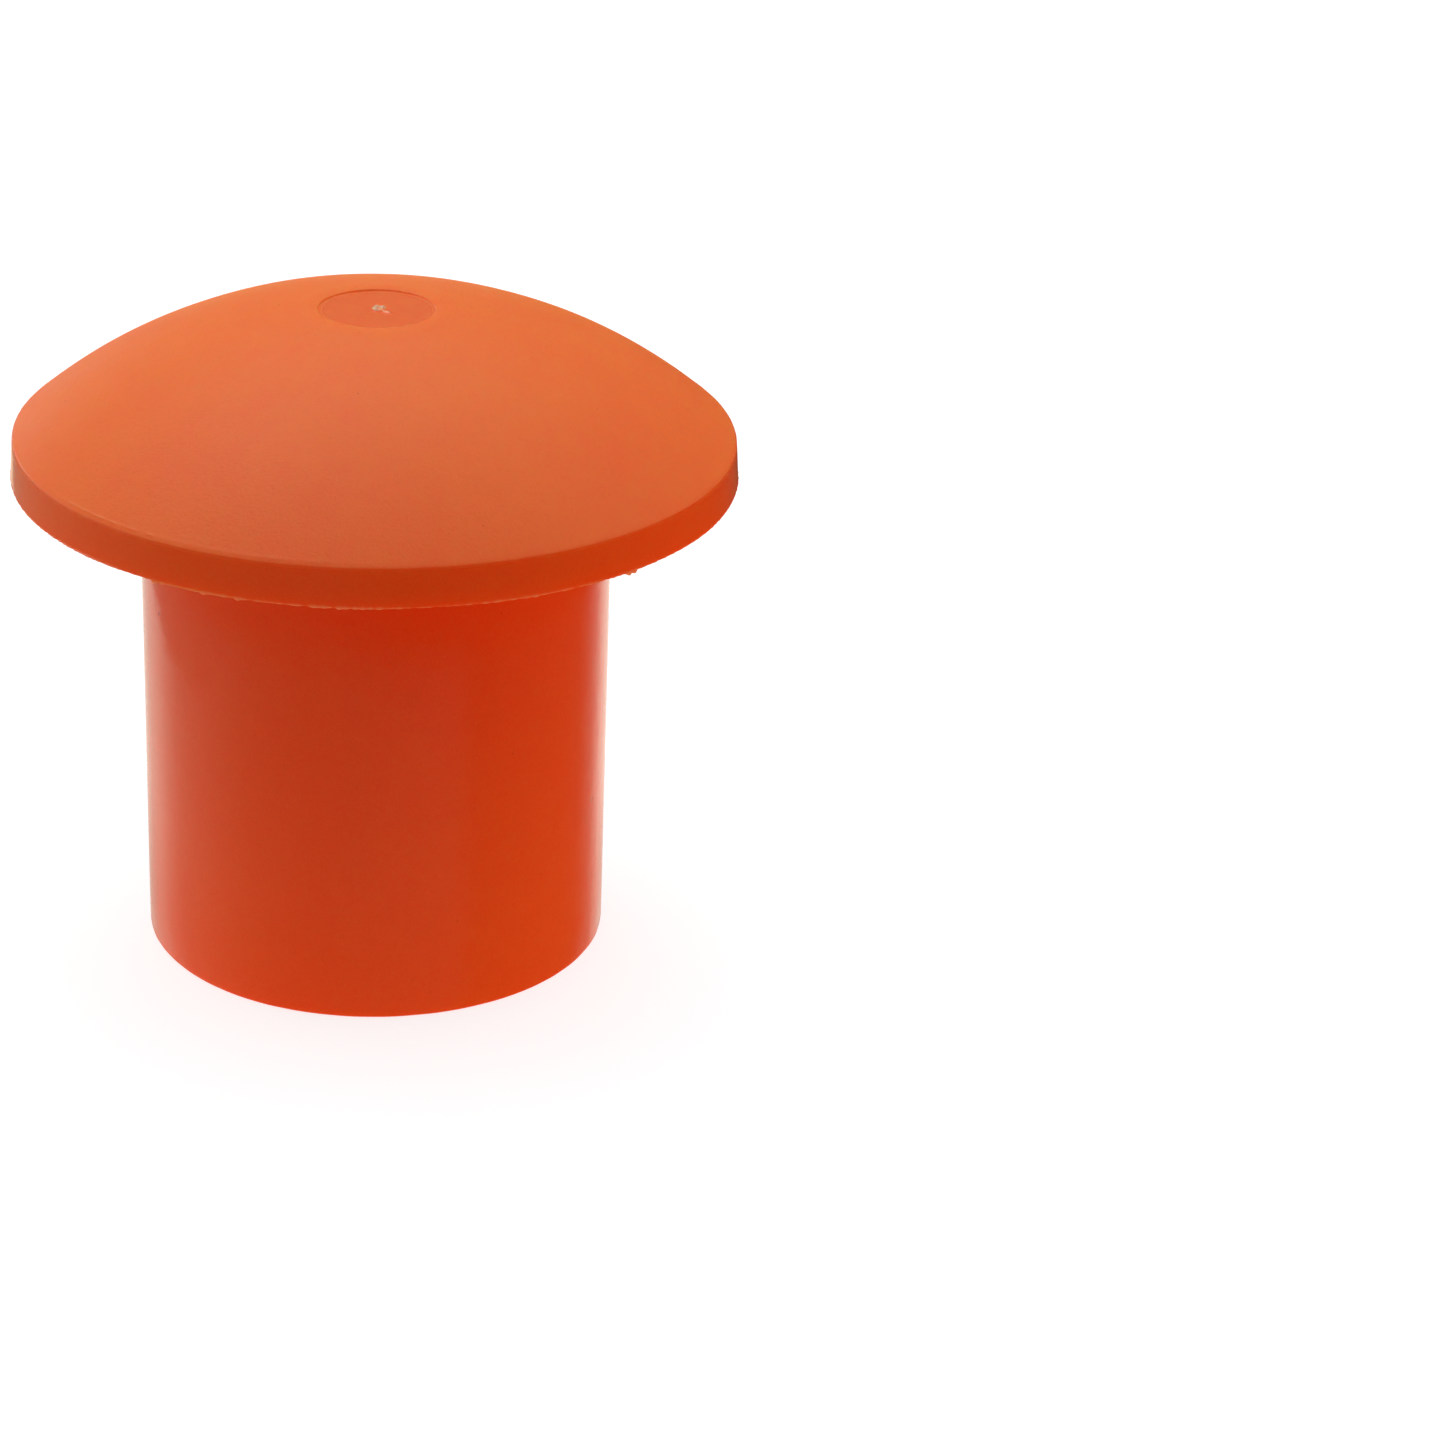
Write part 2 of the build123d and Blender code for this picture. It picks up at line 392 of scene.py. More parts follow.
def displace_lower(radius, z, theta, kind):
    """Crease, band, land, rim, burr and sleeve; the other kinds stay plain."""
    edge = 0.0
    if kind == "crease":
        radius = radius + 0.006 * wave(theta, low=5, high=120, fall=0.6, seed=5)
        edge = 0.35
    elif kind == "band":
        radius = radius + 0.010 * wave(theta, low=2, high=9, fall=0.4, seed=6)
    elif kind == "land":
        z = z - 0.010 * np.clip(wave(theta, low=3, high=40, fall=0.6, seed=9), -1, 2)
        edge = 0.12
    elif kind == "rim":
        radius = radius + 0.010 * wave(theta, low=3, high=60, fall=0.7, seed=10)
        edge = 0.25
    elif kind == "burr":
        coarse = 0.5 * wave(theta, low=5, high=50, fall=0.4, seed=11)
        fine = 0.35 * wave(theta, low=70, high=180, fall=0.2, seed=12)
        burr = np.clip(0.35 + coarse + fine, 0, 1.7)
        share = math.exp(-(((z - 0.10) / 0.10) ** 2))
        radius = radius - 0.050 * burr * share
        edge = 0.25 + 0.6 * np.clip(burr, 0, 1) * share
    elif kind == "sleeve":
        oval = 0.012 * np.sin(2 * theta + 0.7)
        ripple = 0.007 * np.sin(0.21 * z + 3 * np.cos(theta)) * np.sin(3 * theta + 0.1 * z)
        radius = radius + oval + ripple
    return radius, z, edge


def displaced(radius, z, count, kind):
    """A ring's points as a count by 3 array, and the edge value of each."""
    theta = 2 * math.pi * np.arange(count) / count
    if kind in CROWN_KINDS:
        displace = displace_crown
    elif kind in FLASH_SHIFTS:
        displace = displace_flash
    else:
        displace = displace_lower
    radius, z, edge_value = displace(radius, z, theta, kind)
    points = np.empty((count, 3))
    points[:, 0] = radius * np.cos(theta)
    points[:, 1] = radius * np.sin(theta)
    points[:, 2] = z
    return points, np.full(count, edge_value)


# ---- shell mesh ------------------------------------------------------------------------
def stitch(first, first_count, second, second_count):
    """Faces between two rings, by start index; fans where the point counts differ."""
    if first_count == second_count:
        after = [(i + 1) % first_count for i in range(first_count)]
        return [(first + i, second + i, second + j, first + j) for i, j in enumerate(after)]
    thinning = first_count > second_count
    if thinning:
        coarse, coarse_count, fine, fine_count = second, second_count, first, first_count
    else:
        coarse, coarse_count, fine, fine_count = first, first_count, second, second_count
    step = fine_count // coarse_count
    fans = []
    for i in range(coarse_count):
        here, after = coarse + i, coarse + (i + 1) % coarse_count
        middle = i * step + step // 2
        fans += [(here, fine + k, fine + k + 1) for k in range(i * step, middle)]
        fans.append((here, fine + middle, after))
        fans += [
            (after, fine + k, fine + (k + 1) % fine_count)
            for k in range(middle, (i + 1) * step)
        ]
    return [(a, c, b) for a, b, c in fans] if thinning else fans


def new_mesh(name, points, faces, zone, edge):
    mesh = bpy.data.meshes.new(name)
    mesh.from_pydata([tuple(map(float, point)) for point in points], [], faces)
    for key, values in (("zone", zone), ("edge", edge)):
        attribute = mesh.attributes.new(key, "FLOAT", "POINT")
        attribute.data.foreach_set("value", np.asarray(values, np.float32))
    # triangles only, so that the union cuts clean pieces
    triangulate(mesh, lambda face: True, quad_method="SHORT_EDGE")
    shade_smooth(mesh)
    mesh.update()
    return mesh


def triangulate(mesh, wanted, **options):
    bm = bmesh.new()
    bm.from_mesh(mesh)
    bmesh.ops.triangulate(bm, faces=[face for face in bm.faces if wanted(face)], **options)
    bm.to_mesh(mesh)
    bm.free()


def shade_smooth(mesh):
    mesh.polygons.foreach_set("use_smooth", np.ones(len(mesh.polygons), bool))


def shell_mesh():
    crown_pole = [[0, 0, recess_z + float(stub_height(0.0, 0.0))]]
    points, zone, edge = [np.array(crown_pole)], [np.array([1.0])], [np.array([0.3])]
    starts, total = [], 1
    for radius, z, count, kind in rings:
        ring_points, ring_edge = displaced(radius, z, count, kind)
        points.append(ring_points)
        zone.append(np.full(count, ZONES[kind]))
        edge.append(ring_edge)
        starts.append(total)
        total += count
    socket_pole = total
    points.append(np.array([[0, 0, under_z(0.0)]]))
    zone.append(np.array([ZONES["socket"]]))
    edge.append(np.array([0.0]))

    counts = [entry[2] for entry in rings]
    start, count = starts[0], counts[0]
    faces = [(0, start + i, start + (i + 1) % count) for i in range(count)]
    for k in range(len(rings) - 1):
        faces += stitch(starts[k], counts[k], starts[k + 1], counts[k + 1])
    start, count = starts[-1], counts[-1]
    faces += [(socket_pole, start + (i + 1) % count, start + i) for i in range(count)]
    return new_mesh(
        "mushroom_cap_shell", np.concatenate(points) * MM, faces,
        zone=np.concatenate(zone), edge=np.concatenate(edge),
    )


def fin_section(z, fin):
    """One level of a fin, x along its radius: back corners, then the rounded inner edge."""
    tip = BORE_R - FIN_SLOPE * (z - LEAD_IN_Z)
    back = BORE_R + 0.5 if z < 36 else BORE_R + 0.2
    half = FIN_T / 2 + 0.012 * math.sin(0.9 * z + fin)
    rounded = []
    for i in range(5):
        angle = math.pi / 2 * i / 4
        rounded.append((
            tip + FIN_EDGE_R * (1 - math.sin(angle)),
            half - FIN_EDGE_R * (1 - math.cos(angle)),
        ))
    return [(back, -half), (back, half)] + rounded + [(x, -y) for x, y in reversed(rounded)]


def fin_mesh():
    """Four grip fins, with their feet in the socket's wall and their tops in the head's."""
    bottom = LEAD_IN_Z - 0.35
    top = under_z(0.0) + 0.42
    points, faces = [], []
    for fin in range(4):
        base = len(points)
        c, s = math.cos(fin * math.pi / 2), math.sin(fin * math.pi / 2)
        for i in range(FIN_STEPS + 1):
            level = bottom + (top - LEAD_IN_Z + 0.35) * (i / FIN_STEPS)
            section = fin_section(level, fin)
            for x, y in section:
                # near its top the fin stays inside the head's wall
                ceiling = under_z(min(abs(x), 22.0)) + 0.5 - 0.02 * (FIN_STEPS - i)
                points.append((x * c - y * s, x * s + y * c, min(level, ceiling)))
        count = len(section)
        for i in range(FIN_STEPS):
            low, high = base + i * count, base + (i + 1) * count
            for j in range(count):
                k = (j + 1) % count
                faces.append((low + j, low + k, high + k, high + j))
        faces.append(tuple(base + j for j in reversed(range(count))))
        faces.append(tuple(base + FIN_STEPS * count + j for j in range(count)))
    return new_mesh(
        "fins_tool", np.array(points) * MM, faces,
        zone=np.full(len(points), ZONES["socket"]), edge=np.zeros(len(points)),
    )


def new_object(name, data):
    made = bpy.data.objects.new(name, data)
    bpy.context.scene.collection.objects.link(made)
    return made


def join_fins(shell):
    """Unite shell and fins into one mesh of triangles."""
    fins = new_object("fins_tool", fin_mesh())
    union = shell.modifiers.new("fins", "BOOLEAN")
    union.operation, union.solver, union.object = "UNION", "EXACT", fins
    bpy.context.view_layer.update()
    depsgraph = bpy.context.evaluated_depsgraph_get()
    joined = bpy.data.meshes.new_from_object(
        shell.evaluated_get(depsgraph), preserve_all_data_layers=True, depsgraph=depsgraph
    )
    shell.modifiers.clear()
    triangulate(joined, lambda face: len(face.verts) > 3)
    shell.data = joined
    joined.name = "mushroom_cap_shell"
    bpy.data.objects.remove(fins)
    shade_smooth(joined)
    joined.set_sharp_from_angle(angle=math.radians(34))
    joined.update()


shell = new_object("mushroom_cap_shell", shell_mesh())
join_fins(shell)
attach(shell, "root")
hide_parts("mushroom_cap")


# ---- shader nodes ------------------------------------------------------------------------
DEGREES = 57.29578          # degrees in a radian


class Nodes:
    """Builds a node tree from calls that read as sums."""

    def __init__(self, owner):
        owner.use_nodes = True
        self.tree = owner.node_tree
        self.tree.nodes.clear()

    def new(self, kind, **props):
        node = self.tree.nodes.new(kind)
        for key, value in props.items():
            setattr(node, key, value)
        return node

    def link(self, source, target):
        self.tree.links.new(source, target)

    def put(self, socket, value):
        if isinstance(value, bpy.types.NodeSocket):
            self.link(value, socket)
        else:
            socket.default_value = value

    def math(self, operation, *values):
        node = self.new("ShaderNodeMath", operation=operation)
        for socket, value in zip(node.inputs, values):
            self.put(socket, value)
        return node.outputs[0]

    def add(self, a, b):
        return self.math("ADD", a, b)

    def sub(self, a, b):
        return self.math("SUBTRACT", a, b)

    def times(self, a, b):
        return self.math("MULTIPLY", a, b)

    def vector(self, operation, *values, scale=None):
        node = self.new("ShaderNodeVectorMath", operation=operation)
        for socket, value in zip(node.inputs, values):
            self.put(socket, value)
        if scale is not None:
            self.put(node.inputs["Scale"], scale)
        return node.outputs["Value" if operation == "LENGTH" else "Vector"]

    def separate(self, vector):
        node = self.new("ShaderNodeSeparateXYZ")
        self.link(vector, node.inputs[0])
        return node.outputs

    def radius(self, x, y):
        return self.math("SQRT", self.add(self.times(x, x), self.times(y, y)))

    def around(self, angle, spread, third):
        """A point on a circle of radius spread, so that a noise closes round the axis."""
        node = self.new("ShaderNodeCombineXYZ")
        self.put(node.inputs[0], self.times(self.math("COSINE", angle), spread))
        self.put(node.inputs[1], self.times(self.math("SINE", angle), spread))
        self.put(node.inputs[2], third)
        return node.outputs[0]

    def noise(self, vector, scale, detail, rough, distortion=0.0):
        node = self.new("ShaderNodeTexNoise")
        self.put(node.inputs["Vector"], vector)
        node.inputs["Scale"].default_value = scale
        node.inputs["Detail"].default_value = detail
        node.inputs["Roughness"].default_value = rough
        node.inputs["Distortion"].default_value = distortion
        return node.outputs["Fac"]

    def span(self, value, start, end, low=0.0, high=1.0, curve="SMOOTHSTEP"):
        """Runs from low to high as value runs from start to end."""
        node = self.new("ShaderNodeMapRange", interpolation_type=curve, clamp=True)
        self.put(node.inputs["Value"], value)
        for key, limit in (
            ("From Min", start), ("From Max", end), ("To Min", low), ("To Max", high),
        ):
            self.put(node.inputs[key], limit)
        return node.outputs["Result"]

    def blend(self, kind, sockets, values):
        node = self.new("ShaderNodeMix", data_type=kind)
        for i, value in zip(sockets, values):
            self.put(node.inputs[i], value)
        return node

    def mix(self, share, a, b):
        return self.blend("RGBA", (0, 6, 7), (share, a, b)).outputs[2]

    def tint(self, colour, mask, strength, toward):
        return self.mix(self.times(mask, strength), colour, toward)

    def lerp(self, share, a, b):
        return self.blend("FLOAT", (0, 2, 3), (share, a, b)).outputs[0]

    def ramp(self, value, stops, peak=1.25):
        """A straight-line curve through (value, level) stops; levels reach up to peak."""
        first, last = stops[0][0], stops[-1][0]
        share = self.span(value, first, last, curve="LINEAR")
        node = self.new("ShaderNodeValToRGB")
        node.color_ramp.interpolation = "LINEAR"
        elements = node.color_ramp.elements
        while len(elements) < len(stops):
            elements.new(0.5)
        for element, (at, level) in zip(elements, stops):
            element.position = (at - first) / (last - first)
            element.color = (level / peak, level / peak, level / peak, 1)
        self.put(node.inputs[0], share)
        return self.times(node.outputs[0], peak)

    def attribute(self, name):
        node = self.new(
            "ShaderNodeAttribute", attribute_name=name, attribute_type="GEOMETRY"
        )
        return node.outputs["Fac"]

    def split_by_camera(self, light_path, unseen, seen, output):
        """Shows the camera one shader, and every other ray the other."""
        node = self.new("ShaderNodeMixShader")
        self.link(light_path.outputs["Is Camera Ray"], node.inputs[0])
        self.link(unseen.outputs[0], node.inputs[1])
        self.link(seen.outputs[0], node.inputs[2])
        self.link(node.outputs[0], output.inputs[0])


# ---- polyethylene ------------------------------------------------------------------------
DEEP = (0.955, 0.133, 0.0135, 1)
LIGHT = (0.985, 0.190, 0.0185, 1)
PALE_GRAIN = (1.0, 0.24, 0.05, 1)
DARK_BLOTCH = (0.90, 0.110, 0.012, 1)
PALE_EDGE_AND_HIGHLIGHT = (0.98, 0.36, 0.12, 1)
STRESS_WHITE_AND_HIGHLIGHT = (1.0, 0.66, 0.44, 1)
DARK_SPECK = (0.42, 0.045, 0.008, 1)
PALE_SCUFF = (1.0, 0.36, 0.14, 1)
DARK_NICK = (0.50, 0.050, 0.008, 1)

# small nicks in the sleeve: angle in degrees, height, half width, half height
NICKS = (
    (-17.5, 11.9, 0.10, 0.26), (52.0, 21.4, 0.12, 0.20),
    (139.0, 7.8, 0.09, 0.30), (-151.0, 26.5, 0.13, 0.16),
)


def nick_mask(nodes, point, grain):
    nicks = None
    for degrees, z, half_w, half_h in NICKS:
        angle = math.radians(degrees)
        centre = (SLEEVE_R * math.cos(angle), SLEEVE_R * math.sin(angle), z)
        offset = nodes.vector("SUBTRACT", point, centre)
        stretch = (1 / half_w, 1 / half_w, 1 / half_h)
        distance = nodes.vector("LENGTH", nodes.vector("MULTIPLY", offset, stretch))
        ragged = nodes.add(distance, nodes.times(nodes.sub(grain, 0.5), 1.4))
        nick = nodes.span(ragged, start=1.25, end=0.70)
        nicks = nick if nicks is None else nodes.math("MAXIMUM", nicks, nick)
    return nicks


def scuff_mask(nodes, point, mottle):
    """Short streaks, from a noise stretched along one slanting direction."""
    mapping = nodes.new("ShaderNodeMapping", vector_type="POINT")
    mapping.inputs["Rotation"].default_value = (0.5, 0.9, 0.35)
    mapping.inputs["Scale"].default_value = (0.25, 3.4, 3.4)
    nodes.link(point, mapping.inputs["Vector"])
    streaks = nodes.noise(mapping.outputs[0], scale=0.55, detail=2.0, rough=0.55)
    return nodes.times(
        nodes.span(streaks, start=0.70, end=0.76), nodes.span(mottle, start=0.45, end=0.62)
    )


def surface_fields(nodes):
    """Places, noises and masks that colour, roughness and relief share."""
    f = SimpleNamespace()
    position = nodes.new("ShaderNodeTexCoord").outputs["Object"]
    f.point = nodes.vector("SCALE", position, scale=1000.0)      # millimetres
    x, y, f.z = nodes.separate(f.point)
    radius = nodes.radius(x, y)
    f.edge = nodes.attribute("edge")             # 1 on thin flash and torn edges
    f.satin = nodes.span(nodes.attribute("zone"), start=0.25, end=1.0)
    f.cloud = nodes.noise(f.point, scale=0.075, detail=3.0, rough=0.55, distortion=0.4)
    f.angle = nodes.math("ARCTAN2", y, x)
    # streaks that run out from the gate
    polar = nodes.around(f.angle, spread=3.2, third=nodes.times(radius, 0.10))
    f.flow = nodes.noise(polar, scale=1.6, detail=4.0, rough=0.6, distortion=0.8)
    f.mottle = nodes.noise(f.point, scale=0.62, detail=4.0, rough=0.6)
    f.grain = nodes.noise(f.point, scale=7.0, detail=2.0, rough=0.6)
    f.gate = nodes.times(
        nodes.span(radius, start=1.7, end=0.8), nodes.span(f.edge, start=0.25, end=0.80)
    )
    speck_noise = nodes.noise(f.point, scale=1.9, detail=1.0, rough=0.4)
    f.specks = nodes.span(speck_noise, start=0.815, end=0.835)
    f.scuffs = scuff_mask(nodes, f.point, f.mottle)
    f.nicks = nick_mask(nodes, f.point, f.grain)
    return f


def plastic_colour(nodes, f):
    # weights of cloud, flow, mottle and satin in the tone. The satin weighting also lifts the
    # dome's whole tone above the sleeve's: painted top light on the dome, painted shade on the
    # sleeve under the head
    tone_and_lit_dome = nodes.add(nodes.times(f.cloud, 0.55), nodes.times(f.flow, nodes.times(f.satin, 0.30)))
    tone_and_lit_dome = nodes.add(tone_and_lit_dome, nodes.times(f.mottle, 0.22))
    # painted light: the satin dome paler than the shaded sleeve
    tone_and_lit_dome = nodes.add(tone_and_lit_dome, nodes.times(f.satin, 0.10))
    colour = nodes.mix(nodes.span(tone_and_lit_dome, start=0.28, end=0.92), DEEP, LIGHT)
    blotches = nodes.noise(f.point, scale=2.6, detail=3.0, rough=0.65)
    for mask, strength, toward in (
        (nodes.span(f.grain, start=0.35, end=0.70), 0.16, PALE_GRAIN),
        (nodes.span(blotches, start=0.50, end=0.74), 0.22, DARK_BLOTCH),
        # pale edges: partly the thin flash's and torn edges' own paleness, partly a painted
        # highlight where flash and crease catch the top light
        (nodes.span(f.edge, start=0.25, end=1.0), 0.62, PALE_EDGE_AND_HIGHLIGHT),
        # the torn stub: real stress whitening, made paler still as a painted highlight
        (f.gate, 0.88, STRESS_WHITE_AND_HIGHLIGHT),
        (f.specks, 0.40, DARK_SPECK),
        (f.scuffs, 0.05, PALE_SCUFF),
        (f.nicks, 0.80, DARK_NICK),
    ):
        colour = nodes.tint(colour, mask, strength, toward)
    return colour


def plastic_roughness(nodes, f):
    """Each lerp gives the polished value, then the satin one; the torn stub is shiny."""
    rough = nodes.lerp(f.satin, 0.115, 0.46)
    for field, polished, satin in ((f.mottle, 0.06, 0.16), (f.cloud, 0.04, 0.10)):
        swing = nodes.lerp(f.satin, polished, satin)
        rough = nodes.add(rough, nodes.times(nodes.sub(field, 0.5), swing))
    rough = nodes.add(rough, nodes.times(f.scuffs, 0.06))
    rough = nodes.add(rough, nodes.times(nodes.span(f.edge, start=0.2, end=1.0), 0.12))
    rough = nodes.sub(rough, nodes.times(f.gate, 0.32))
    return nodes.math("MAXIMUM", nodes.math("MINIMUM", rough, 0.8), 0.07)


def plastic_relief(nodes, f):
    """Height in millimetres: fine spark grain, orange peel, and draw marks up the sleeve."""
    spark = nodes.noise(f.point, scale=4.6, detail=3.0, rough=0.62)
    spark = nodes.times(spark, nodes.lerp(f.satin, 0.0032, 0.0260))
    peel = nodes.noise(f.point, scale=0.62, detail=4.0, rough=0.55)
    peel = nodes.times(peel, nodes.lerp(f.satin, 0.022, 0.040))
    drawn = nodes.around(f.angle, spread=26.0, third=nodes.times(f.z, 0.05))
    marks = nodes.noise(drawn, scale=1.5, detail=3.0, rough=0.6)
    marks = nodes.times(marks, nodes.times(nodes.sub(1.0, f.satin), 0.0045))
    height = nodes.add(nodes.add(spark, peel), nodes.sub(marks, nodes.times(f.scuffs, 0.004)))
    height = nodes.sub(height, nodes.times(f.specks, 0.004))
    return nodes.sub(height, nodes.times(f.nicks, 0.05))


def polyethylene():
    material = bpy.data.materials.new("orange_polyethylene")
    nodes = Nodes(material)
    output = nodes.new("ShaderNodeOutputMaterial")
    plastic = nodes.new("ShaderNodeBsdfPrincipled")
    nodes.link(plastic.outputs[0], output.inputs[0])
    fields = surface_fields(nodes)
    relief = nodes.new("ShaderNodeBump")
    relief.inputs["Strength"].default_value = 1.0
    relief.inputs["Distance"].default_value = MM
    nodes.link(plastic_relief(nodes, fields), relief.inputs["Height"])
    # scattering depth in metres: thick wall, thin edge, torn stub
    thick, thin, torn = 0.00065, 0.0003, 0.00005
    depth = nodes.lerp(nodes.span(fields.edge, start=0.1, end=0.6), thick, thin)
    for key, value in {
        "Base Color": plastic_colour(nodes, fields),
        "Roughness": plastic_roughness(nodes, fields),
        "IOR": 1.51,
        "Normal": relief.outputs[0],
        "Subsurface Weight": 1.0,
        "Subsurface Radius": (1.0, 0.30, 0.14),
        "Subsurface Scale": nodes.lerp(fields.gate, depth, torn),
    }.items():
        nodes.put(plastic.inputs[key], value)
    plastic.subsurface_method = "RANDOM_WALK"
    return material


shell.data.materials.clear()
shell.data.materials.append(polyethylene())

# ---- studio, in metres ---------------------------------------------------------------------
# One soft room, as (degrees, brightness) stops. LOW runs by azimuth from the camera's side,
# minus to the left; the others run by height above the horizon.
LOW = (
    (-180, 1.00), (-150, 0.95), (-132, 1.05), (-110, 0.62), (-60, 0.27), (-30, 0.18),
    (42, 0.18), (56, 0.05), (112, 0.05), (126, 0.10), (140, 0.42), (155, 1.15), (180, 1.00),
)
HIGH_LEFT = ((0, 0.22), (22, 0.24), (32, 0.50), (50, 1.30), (62, 1.25), (90, 0.74))
HIGH_RIGHT = ((0, 0.20), (15, 0.21), (35, 0.46), (55, 0.85), (70, 0.74), (90, 0.74))
FRONT = ((0, 0.18), (35, 0.24), (60, 0.48), (90, 1.0))
GLOW = 3.3                      # brighter horizon at the left and behind, for reflections only
FILL_LOW, FILL_HIGH = 5.0, 2.10  # gain of the sky as soft fill, low down and high up

FLOOR_R = 6.0
FLOOR_SEGMENTS = 96
FLOOR_DROP = 0.00002
SWEEP_END = {"start": 0.0755, "end": 0.0790}     # radius where the white sweep ends
FLOOR_DARK, FLOOR_PALE = (0.40, 0.40, 0.40, 1), (0.43, 0.43, 0.43, 1)
WARM_FILL = (1.0, 0.43, 0.34, 1)    # fill that has already bounced off orange plastic
RIGHT_FILL = (1.0, 0.30, 0.26, 1)
BOUNCE_NEAR, BOUNCE_FAR = (1.0, 0.95, 0.82, 1), (1.0, 0.86, 0.62, 1)


def floor_fill(nodes, low, x, radius, right):
    """Brightness of the floor as diffuse rays see it."""
    near = nodes.span(radius, start=0.024, end=0.066, low=1.0, high=0.0)
    # a steady base, a little of the room, more close to the part and at its right
    fill = nodes.add(
        nodes.add(nodes.times(low, 0.04), 0.560), nodes.add(nodes.times(near, 0.38), right)
    )
    far_right = nodes.span(x, start=0.045, end=0.110, high=0.14)
    far_left = nodes.span(x, start=-0.045, end=-0.110, high=0.30)
    fill = nodes.add(fill, nodes.add(far_right, far_left))
    return nodes.sub(fill, nodes.span(x, start=0.0, end=-0.050, high=0.10))


def floor_reflection(nodes, low, azimuth, x, radius):
    """Brightness of the floor as reflections see it: dimmer past the sweep, capped at left."""
    far = nodes.times(low, nodes.span(x, start=-0.040, end=0.040, low=0.90, high=0.10))
    behind = nodes.span(azimuth, start=-148.0, end=-120.0, low=0.60, high=0.0)
    left = nodes.span(azimuth, start=-120.0, end=-60.0, low=0.68, high=0.62)
    far = nodes.times(far, nodes.add(behind, left))
    low = nodes.lerp(nodes.span(radius, **SWEEP_END), low, far)
    capped = nodes.math("MINIMUM", low, 0.36)
    return nodes.lerp(nodes.span(x, start=-0.0630, end=-0.0610), capped, low)


def pale_floor():
    material = bpy.data.materials.new("pale_floor")
    nodes = Nodes(material)
    output = nodes.new("ShaderNodeOutputMaterial")
    light_path = nodes.new("ShaderNodeLightPath")
    diffuse_ray = light_path.outputs["Is Diffuse Ray"]
    position = nodes.new("ShaderNodeTexCoord").outputs["Object"]

    # as the camera sees it: pale and plain, with the part's soft shadow
    matt = nodes.new("ShaderNodeBsdfDiffuse")
    patches = nodes.noise(position, scale=2.0, detail=3.0, rough=0.5)
    nodes.put(matt.inputs["Color"], nodes.mix(patches, FLOOR_DARK, FLOOR_PALE))
    lift = nodes.new("ShaderNodeEmission")
    lift.inputs["Strength"].default_value = 0.74
    seen = nodes.new("ShaderNodeAddShader")
    nodes.link(matt.outputs[0], seen.inputs[0])
    nodes.link(lift.outputs[0], seen.inputs[1])

    # as the part sees it: the low part of the room, by direction of the ray
    incoming = nodes.new("ShaderNodeNewGeometry").outputs["Incoming"]
    ray_x, ray_y, _ = nodes.separate(nodes.vector("SCALE", incoming, scale=-1.0))
    azimuth = nodes.times(nodes.math("ARCTAN2", ray_x, nodes.times(ray_y, -1.0)), DEGREES)
    low = nodes.ramp(azimuth, LOW)
    x, y, _ = nodes.separate(position)
    radius = nodes.radius(x, y)
    low = nodes.times(low, nodes.span(radius, start=0.016, end=0.036, low=0.70, high=1.0))
    right = nodes.span(x, start=0.0, end=0.050, high=0.30)
    fill = floor_fill(nodes, low, x, radius, right)
    reflection = floor_reflection(nodes, low, azimuth, x, radius)
    lit = nodes.new("ShaderNodeEmission")
    nodes.put(lit.inputs["Strength"], nodes.lerp(diffuse_ray, reflection, fill))
    bounce = nodes.mix(nodes.span(radius, **SWEEP_END), BOUNCE_NEAR, BOUNCE_FAR)
    # 3.333 brings right back to 0..1
    soft = nodes.mix(nodes.times(right, 3.333), WARM_FILL, RIGHT_FILL)
    nodes.put(lit.inputs["Color"], nodes.mix(diffuse_ray, bounce, soft))
    nodes.split_by_camera(light_path, lit, seen, output)
    return material


def build_floor():
    mesh = bpy.data.meshes.new("studio_floor")
    angles = [2 * math.pi * i / FLOOR_SEGMENTS for i in range(FLOOR_SEGMENTS)]
    mesh.from_pydata(
        [(FLOOR_R * math.cos(a), FLOOR_R * math.sin(a), 0.0) for a in angles],
        [], [tuple(range(FLOOR_SEGMENTS))],
    )
    floor = new_object("studio_floor", mesh)
    floor.location = (0, 0, -FLOOR_DROP)
    mesh.materials.append(pale_floor())


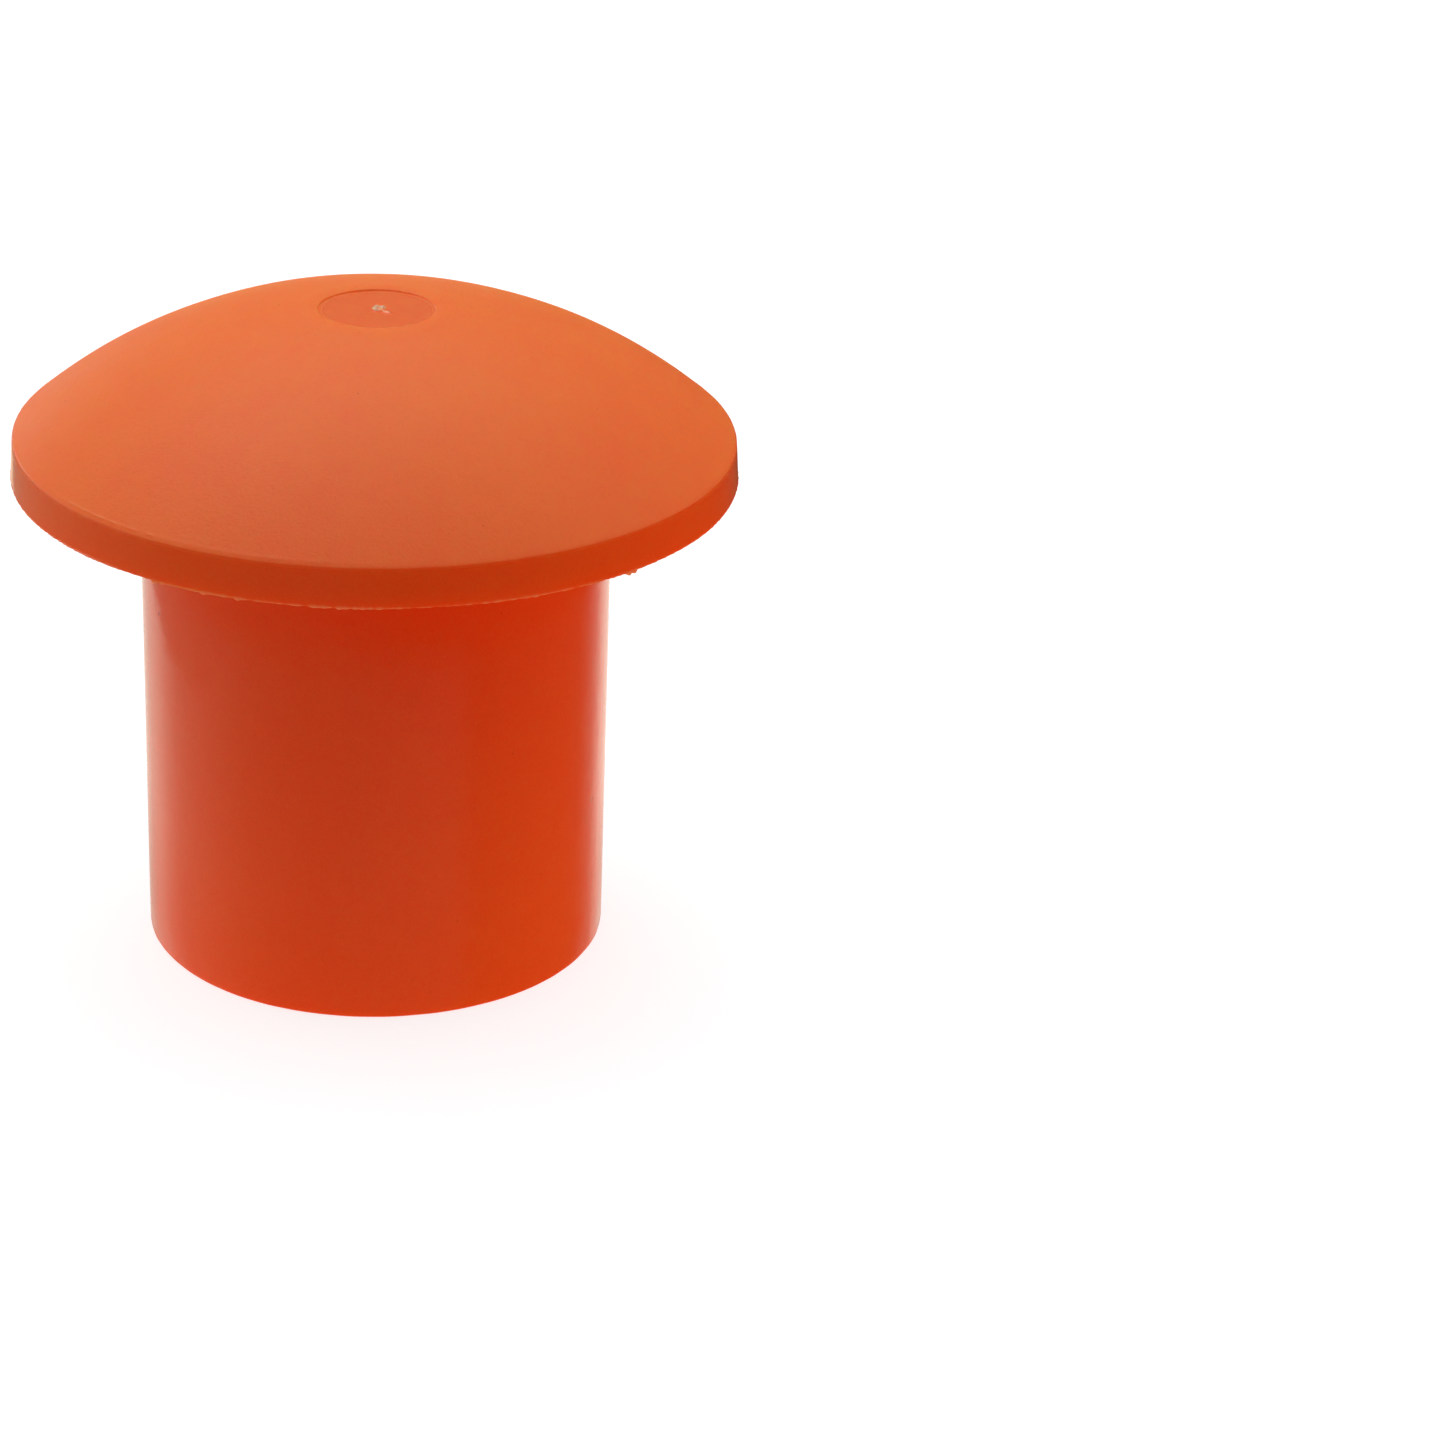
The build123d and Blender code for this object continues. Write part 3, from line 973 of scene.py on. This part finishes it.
def build_world():
    """The sky: white to the camera, the upper part of the room to every other ray."""
    world = bpy.data.worlds.new("studio")
    bpy.context.scene.world = world
    nodes = Nodes(world)
    output = nodes.new("ShaderNodeOutputWorld")
    room = nodes.new("ShaderNodeBackground")
    white = nodes.new("ShaderNodeBackground")
    light_path = nodes.new("ShaderNodeLightPath")
    diffuse_ray = light_path.outputs["Is Diffuse Ray"]
    generated = nodes.new("ShaderNodeTexCoord").outputs["Generated"]
    x, y, z = nodes.separate(nodes.vector("NORMALIZE", generated))
    flat = nodes.math("MAXIMUM", nodes.radius(x, y), 1e-4)
    height = nodes.times(nodes.math("ARCSINE", z), DEGREES)

    def toward(axis, start, end):
        return nodes.span(nodes.math("DIVIDE", axis, flat), start, end)

    def by_height(low, high):
        return nodes.span(height, start=5.0, end=45.0, low=low, high=high)

    across = toward(x, start=-0.45, end=0.40)
    level = nodes.lerp(across, nodes.ramp(height, HIGH_LEFT), nodes.ramp(height, HIGH_RIGHT))
    behind = toward(y, start=-0.55, end=0.25)
    level = nodes.times(level, nodes.lerp(behind, nodes.ramp(height, FRONT), 1.0))

    # diffuse rays see a stronger sky, most of all low down at the sides
    leftward = toward(x, start=-0.10, end=-0.80)
    left_gain = nodes.lerp(leftward, 1.0, by_height(low=1.60, high=0.72))
    fill = nodes.times(by_height(low=FILL_LOW, high=FILL_HIGH), left_gain)
    rightward = toward(x, start=0.10, end=0.80)
    fill = nodes.times(fill, nodes.lerp(rightward, 1.0, by_height(low=1.42, high=0.94)))
    level = nodes.times(level, nodes.lerp(diffuse_ray, 1.0, fill))

    glow = nodes.span(height, start=2.0, end=12.0, low=GLOW, high=0.0)
    glow = nodes.times(glow, nodes.times(leftward, behind))
    level = nodes.add(level, nodes.times(glow, nodes.sub(1.0, diffuse_ray)))
    nodes.put(room.inputs["Strength"], level)
    white.inputs["Color"].default_value = (1, 1, 1, 1)
    white.inputs["Strength"].default_value = 1.0
    nodes.split_by_camera(light_path, room, white, output)


def build_overhead():
    """A weak square light, above, behind and to the left, aimed at the part."""
    data = bpy.data.lights.new("overhead", "AREA")
    data.shape = "RECTANGLE"
    data.size, data.size_y = 0.55, 0.55
    data.energy = 0.30
    place, target = Vector((-0.10, 0.20, 0.55)), Vector((0, 0, 0.03))
    light = new_object("overhead", data)
    light.location = place
    light.rotation_mode = "QUATERNION"
    light.rotation_quaternion = (place - target).to_track_quat("Z", "Y")


def build_camera():
    # the part's origin and the world's axes, in view axes: x right, y down, z ahead
    origin = Vector((-1.0125891, 0.5483672, 11.9417839)) * (CREASE_R * MM)
    tilt, swing = 0.43197338, -1.48573534
    up = Vector((
        math.sin(tilt) * math.cos(swing), -math.cos(tilt), math.sin(tilt) * math.sin(swing)
    ))
    right = Vector((1, 0, 0))
    right = (right - up * right.dot(up)).normalized()
    axes = (right, up.cross(right), up)
    data = bpy.data.cameras.new("camera")
    data.sensor_width, data.lens = 36.0, 101.546
    data.clip_start, data.clip_end = 0.01, 20.0
    camera = new_object("camera", data)
    turn = Matrix([(axis.x, -axis.y, -axis.z) for axis in axes])
    place = Vector([-origin.dot(axis) for axis in axes])
    camera.matrix_world = Matrix.Translation(place) @ turn.to_4x4()
    bpy.context.scene.camera = camera


build_floor()
build_world()
build_overhead()
build_camera()
view = bpy.context.scene.view_settings
view.view_transform = "Standard"
view.look = "None"

# ---- last update of the view layer -------------------------------------------------------------
bpy.context.view_layer.update()
